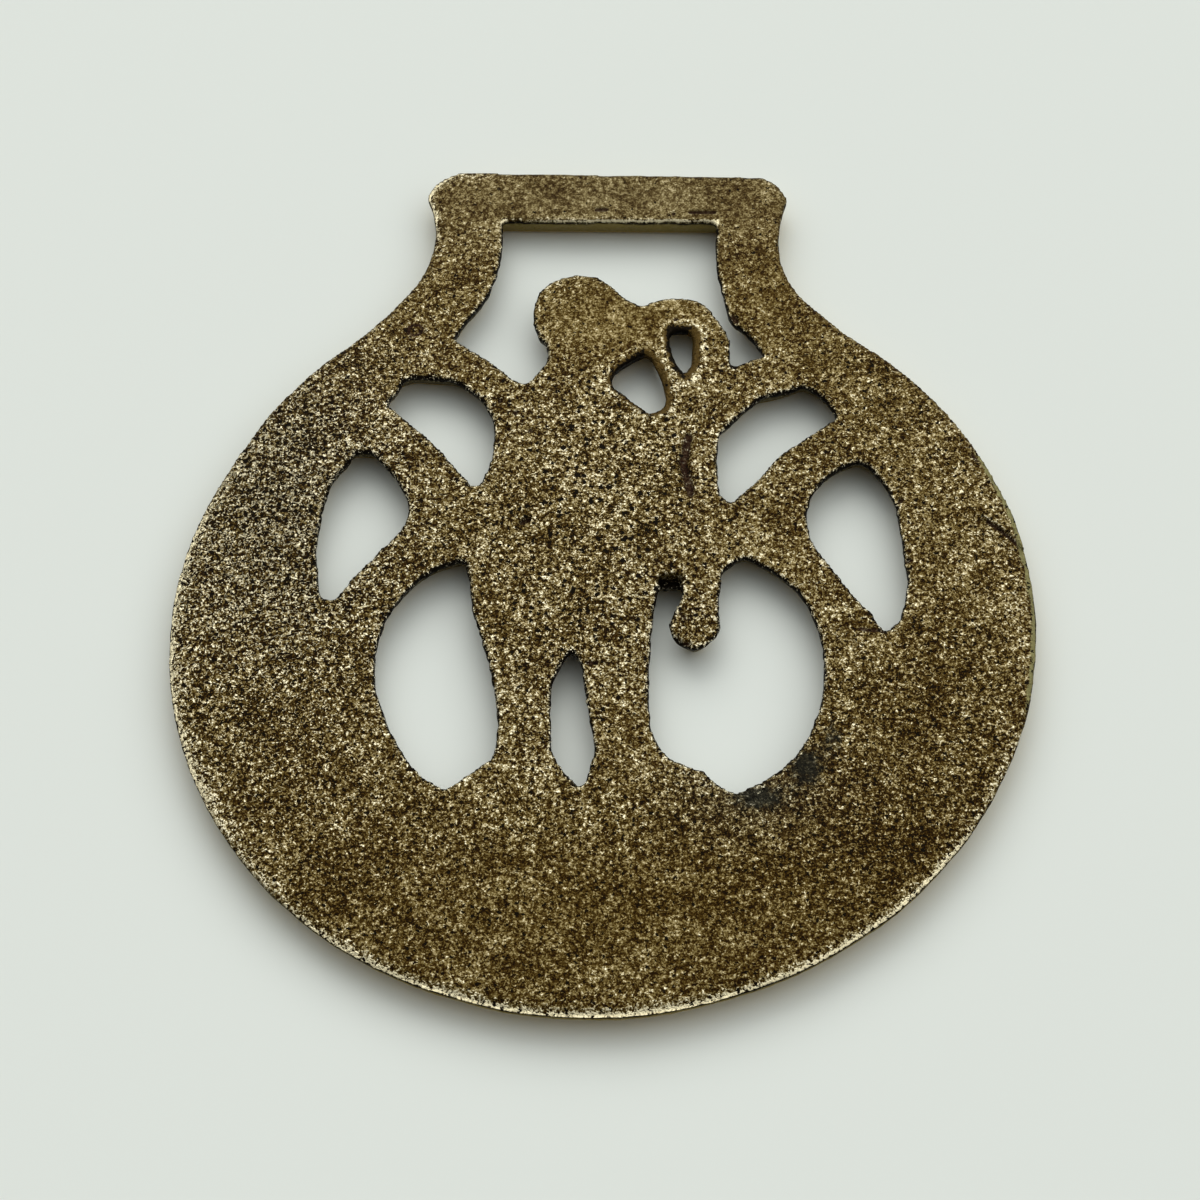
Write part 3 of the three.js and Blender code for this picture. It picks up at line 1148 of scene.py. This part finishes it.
@dataclass
class Studio:
    """A pale floor in soft light from all round, which is stronger from beyond the hanger and above."""

    floor_size: float = 3.0
    sky_colour: str = "f4f6f4"
    sky_low: float = 0.0  # strength on the side away from the light
    sky_high: float = 2.42  # strength on the light's side
    sky_weakest: float = -0.78  # cosine of the angle from the light's side at which the sky is weakest
    sky_from: tuple[float, float] = (0.2, 0.5)  # heights, as shares of straight up, between which it comes in
    far_wall: float = 0.75  # strength just over the horizon, all round
    far_wall_top: tuple[float, float] = (0.1, 0.2)  # heights between which it fades out
    toward_light: tuple[float, float, float] = (0.43, 0.90, 0.0)
    lamp_power: float = 9.1
    lamp_size: float = 1.78
    lamp_place: tuple[float, float, float] = (-0.26, 1.46, 1.34)
    lamp_colour: tuple[float, float, float] = (1.0, 0.99, 0.96)

    def build(self) -> None:
        """Makes the floor, the lamp and the surrounding light."""
        self._floor()
        self._lamp()
        self._surround()

    def _floor(self) -> None:
        """Lays the floor at height 0."""
        sheet = bmesh.new()
        bmesh.ops.create_grid(sheet, x_segments=1, y_segments=1, size=self.floor_size / 2)
        mesh = bpy.data.meshes.new("floor")
        sheet.to_mesh(mesh)
        sheet.free()
        mesh.materials.append(MattFloor().build("matt_board"))
        floor = bpy.data.objects.new("floor", mesh)
        bpy.context.scene.collection.objects.link(floor)

    def _lamp(self) -> None:
        """Hangs a broad lamp beyond the hanger end."""
        light = bpy.data.lights.new("softbox", "AREA")
        light.shape = "DISK"
        light.size = self.lamp_size
        light.energy = self.lamp_power
        light.color = self.lamp_colour
        lamp = bpy.data.objects.new("softbox", light)
        lamp.location = self.lamp_place
        lamp.rotation_mode = "QUATERNION"
        lamp.rotation_quaternion = (-Vector(self.lamp_place)).to_track_quat("-Z", "Y")
        bpy.context.scene.collection.objects.link(lamp)

    def _surround(self) -> None:
        """Sets the light from all round: a sky brighter on one side, and a far, grey wall below it."""
        world = bpy.data.worlds.new("daylight_room")
        world.use_nodes = True
        world.node_tree.nodes.clear()
        node = partial(add_node, world)
        direction = node("ShaderNodeTexCoord").outputs["Generated"]
        toward = Vector(self.toward_light).normalized()
        side = node(
            "ShaderNodeVectorMath", {"operation": "DOT_PRODUCT", 1: toward}, {0: direction}
        ).outputs["Value"]
        sky = node(
            "ShaderNodeMapRange",
            {"From Min": self.sky_weakest, "From Max": 1.0, "To Min": self.sky_low, "To Max": self.sky_high},
            {"Value": side},
        ).outputs["Result"]
        height = node("ShaderNodeSeparateXYZ", links={"Vector": direction}).outputs["Z"]
        low, high = self.sky_from
        over_wall = node(
            "ShaderNodeMapRange", {"From Min": low, "From Max": high}, {"Value": height}
        ).outputs["Result"]
        low, high = self.far_wall_top
        wall = node(
            "ShaderNodeMapRange",
            {"From Min": low, "From Max": high, "To Min": self.far_wall, "To Max": 0.0},
            {"Value": height},
        ).outputs["Result"]
        sky = node("ShaderNodeMath", {"operation": "MULTIPLY"}, {0: sky, 1: over_wall}).outputs[0]
        strength = node("ShaderNodeMath", {"operation": "ADD"}, {0: sky, 1: wall}).outputs[0]
        surround = node("ShaderNodeBackground", {"Color": linear(self.sky_colour)}, {"Strength": strength})
        node("ShaderNodeOutputWorld", links={"Surface": surround.outputs["Background"]})
        bpy.context.scene.world = world


@dataclass
class Viewpoint:
    """A camera that looks down on the back of the brass from the foot of the plate."""

    distance: float = 250.0 * MM
    from_vertical: float = 32.4  # degrees
    to_the_right: float = 4.9  # degrees round from straight below the plate
    roll: float = 4.0  # degrees
    lens: float = 82.6  # mm
    sensor: float = 36.0  # mm
    aim: tuple[float, float] = (0.1 * MM, 1.6 * MM)  # from the plate's centre

    def build(self, centre: Vector, height: float) -> None:
        """Sets the camera up.

        Args:
            centre: the plate's centre.
            height: height of the face that it looks at.
        """
        target = centre + Vector((self.aim[0], self.aim[1], height))
        tilt, turn, roll = (math.radians(a) for a in (self.from_vertical, self.to_the_right, self.roll))
        back = Vector((math.sin(turn) * math.sin(tilt), -math.cos(turn) * math.sin(tilt), math.cos(tilt)))
        right = Vector((0.0, 0.0, 1.0)).cross(back).normalized()
        up = back.cross(right)
        rolled_right = right * math.cos(roll) - up * math.sin(roll)
        rolled_up = right * math.sin(roll) + up * math.cos(roll)
        data = bpy.data.cameras.new("camera")
        data.lens = self.lens
        data.sensor_width = self.sensor
        data.clip_start = 0.01
        data.clip_end = 10.0
        camera = bpy.data.objects.new("camera", data)
        axes = Matrix((rolled_right, rolled_up, back)).transposed().to_4x4()
        camera.matrix_world = Matrix.Translation(target + back * self.distance) @ axes
        bpy.context.scene.collection.objects.link(camera)
        bpy.context.scene.camera = camera


def main() -> None:
    logging.basicConfig(level=logging.INFO, format="%(name)s: %(message)s")
    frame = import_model()
    low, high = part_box(NODE)
    centre = Vector((low.x + PATTERN_CENTRE[0], low.y + PATTERN_CENTRE[1], low.z))

    Viewpoint().build(centre, high.z - low.z)
    Studio().build()
    bpy.context.scene.view_settings.view_transform = "Standard"

    casting = Casting(centre, high.z - low.z)
    piece = casting.build(frame["nodes"][NODE])
    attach(piece, BODY)
    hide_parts(NODE)
    LOG.info("%s: %d faces", piece.name, len(piece.data.polygons))


if __name__ == "__main__":
    main()
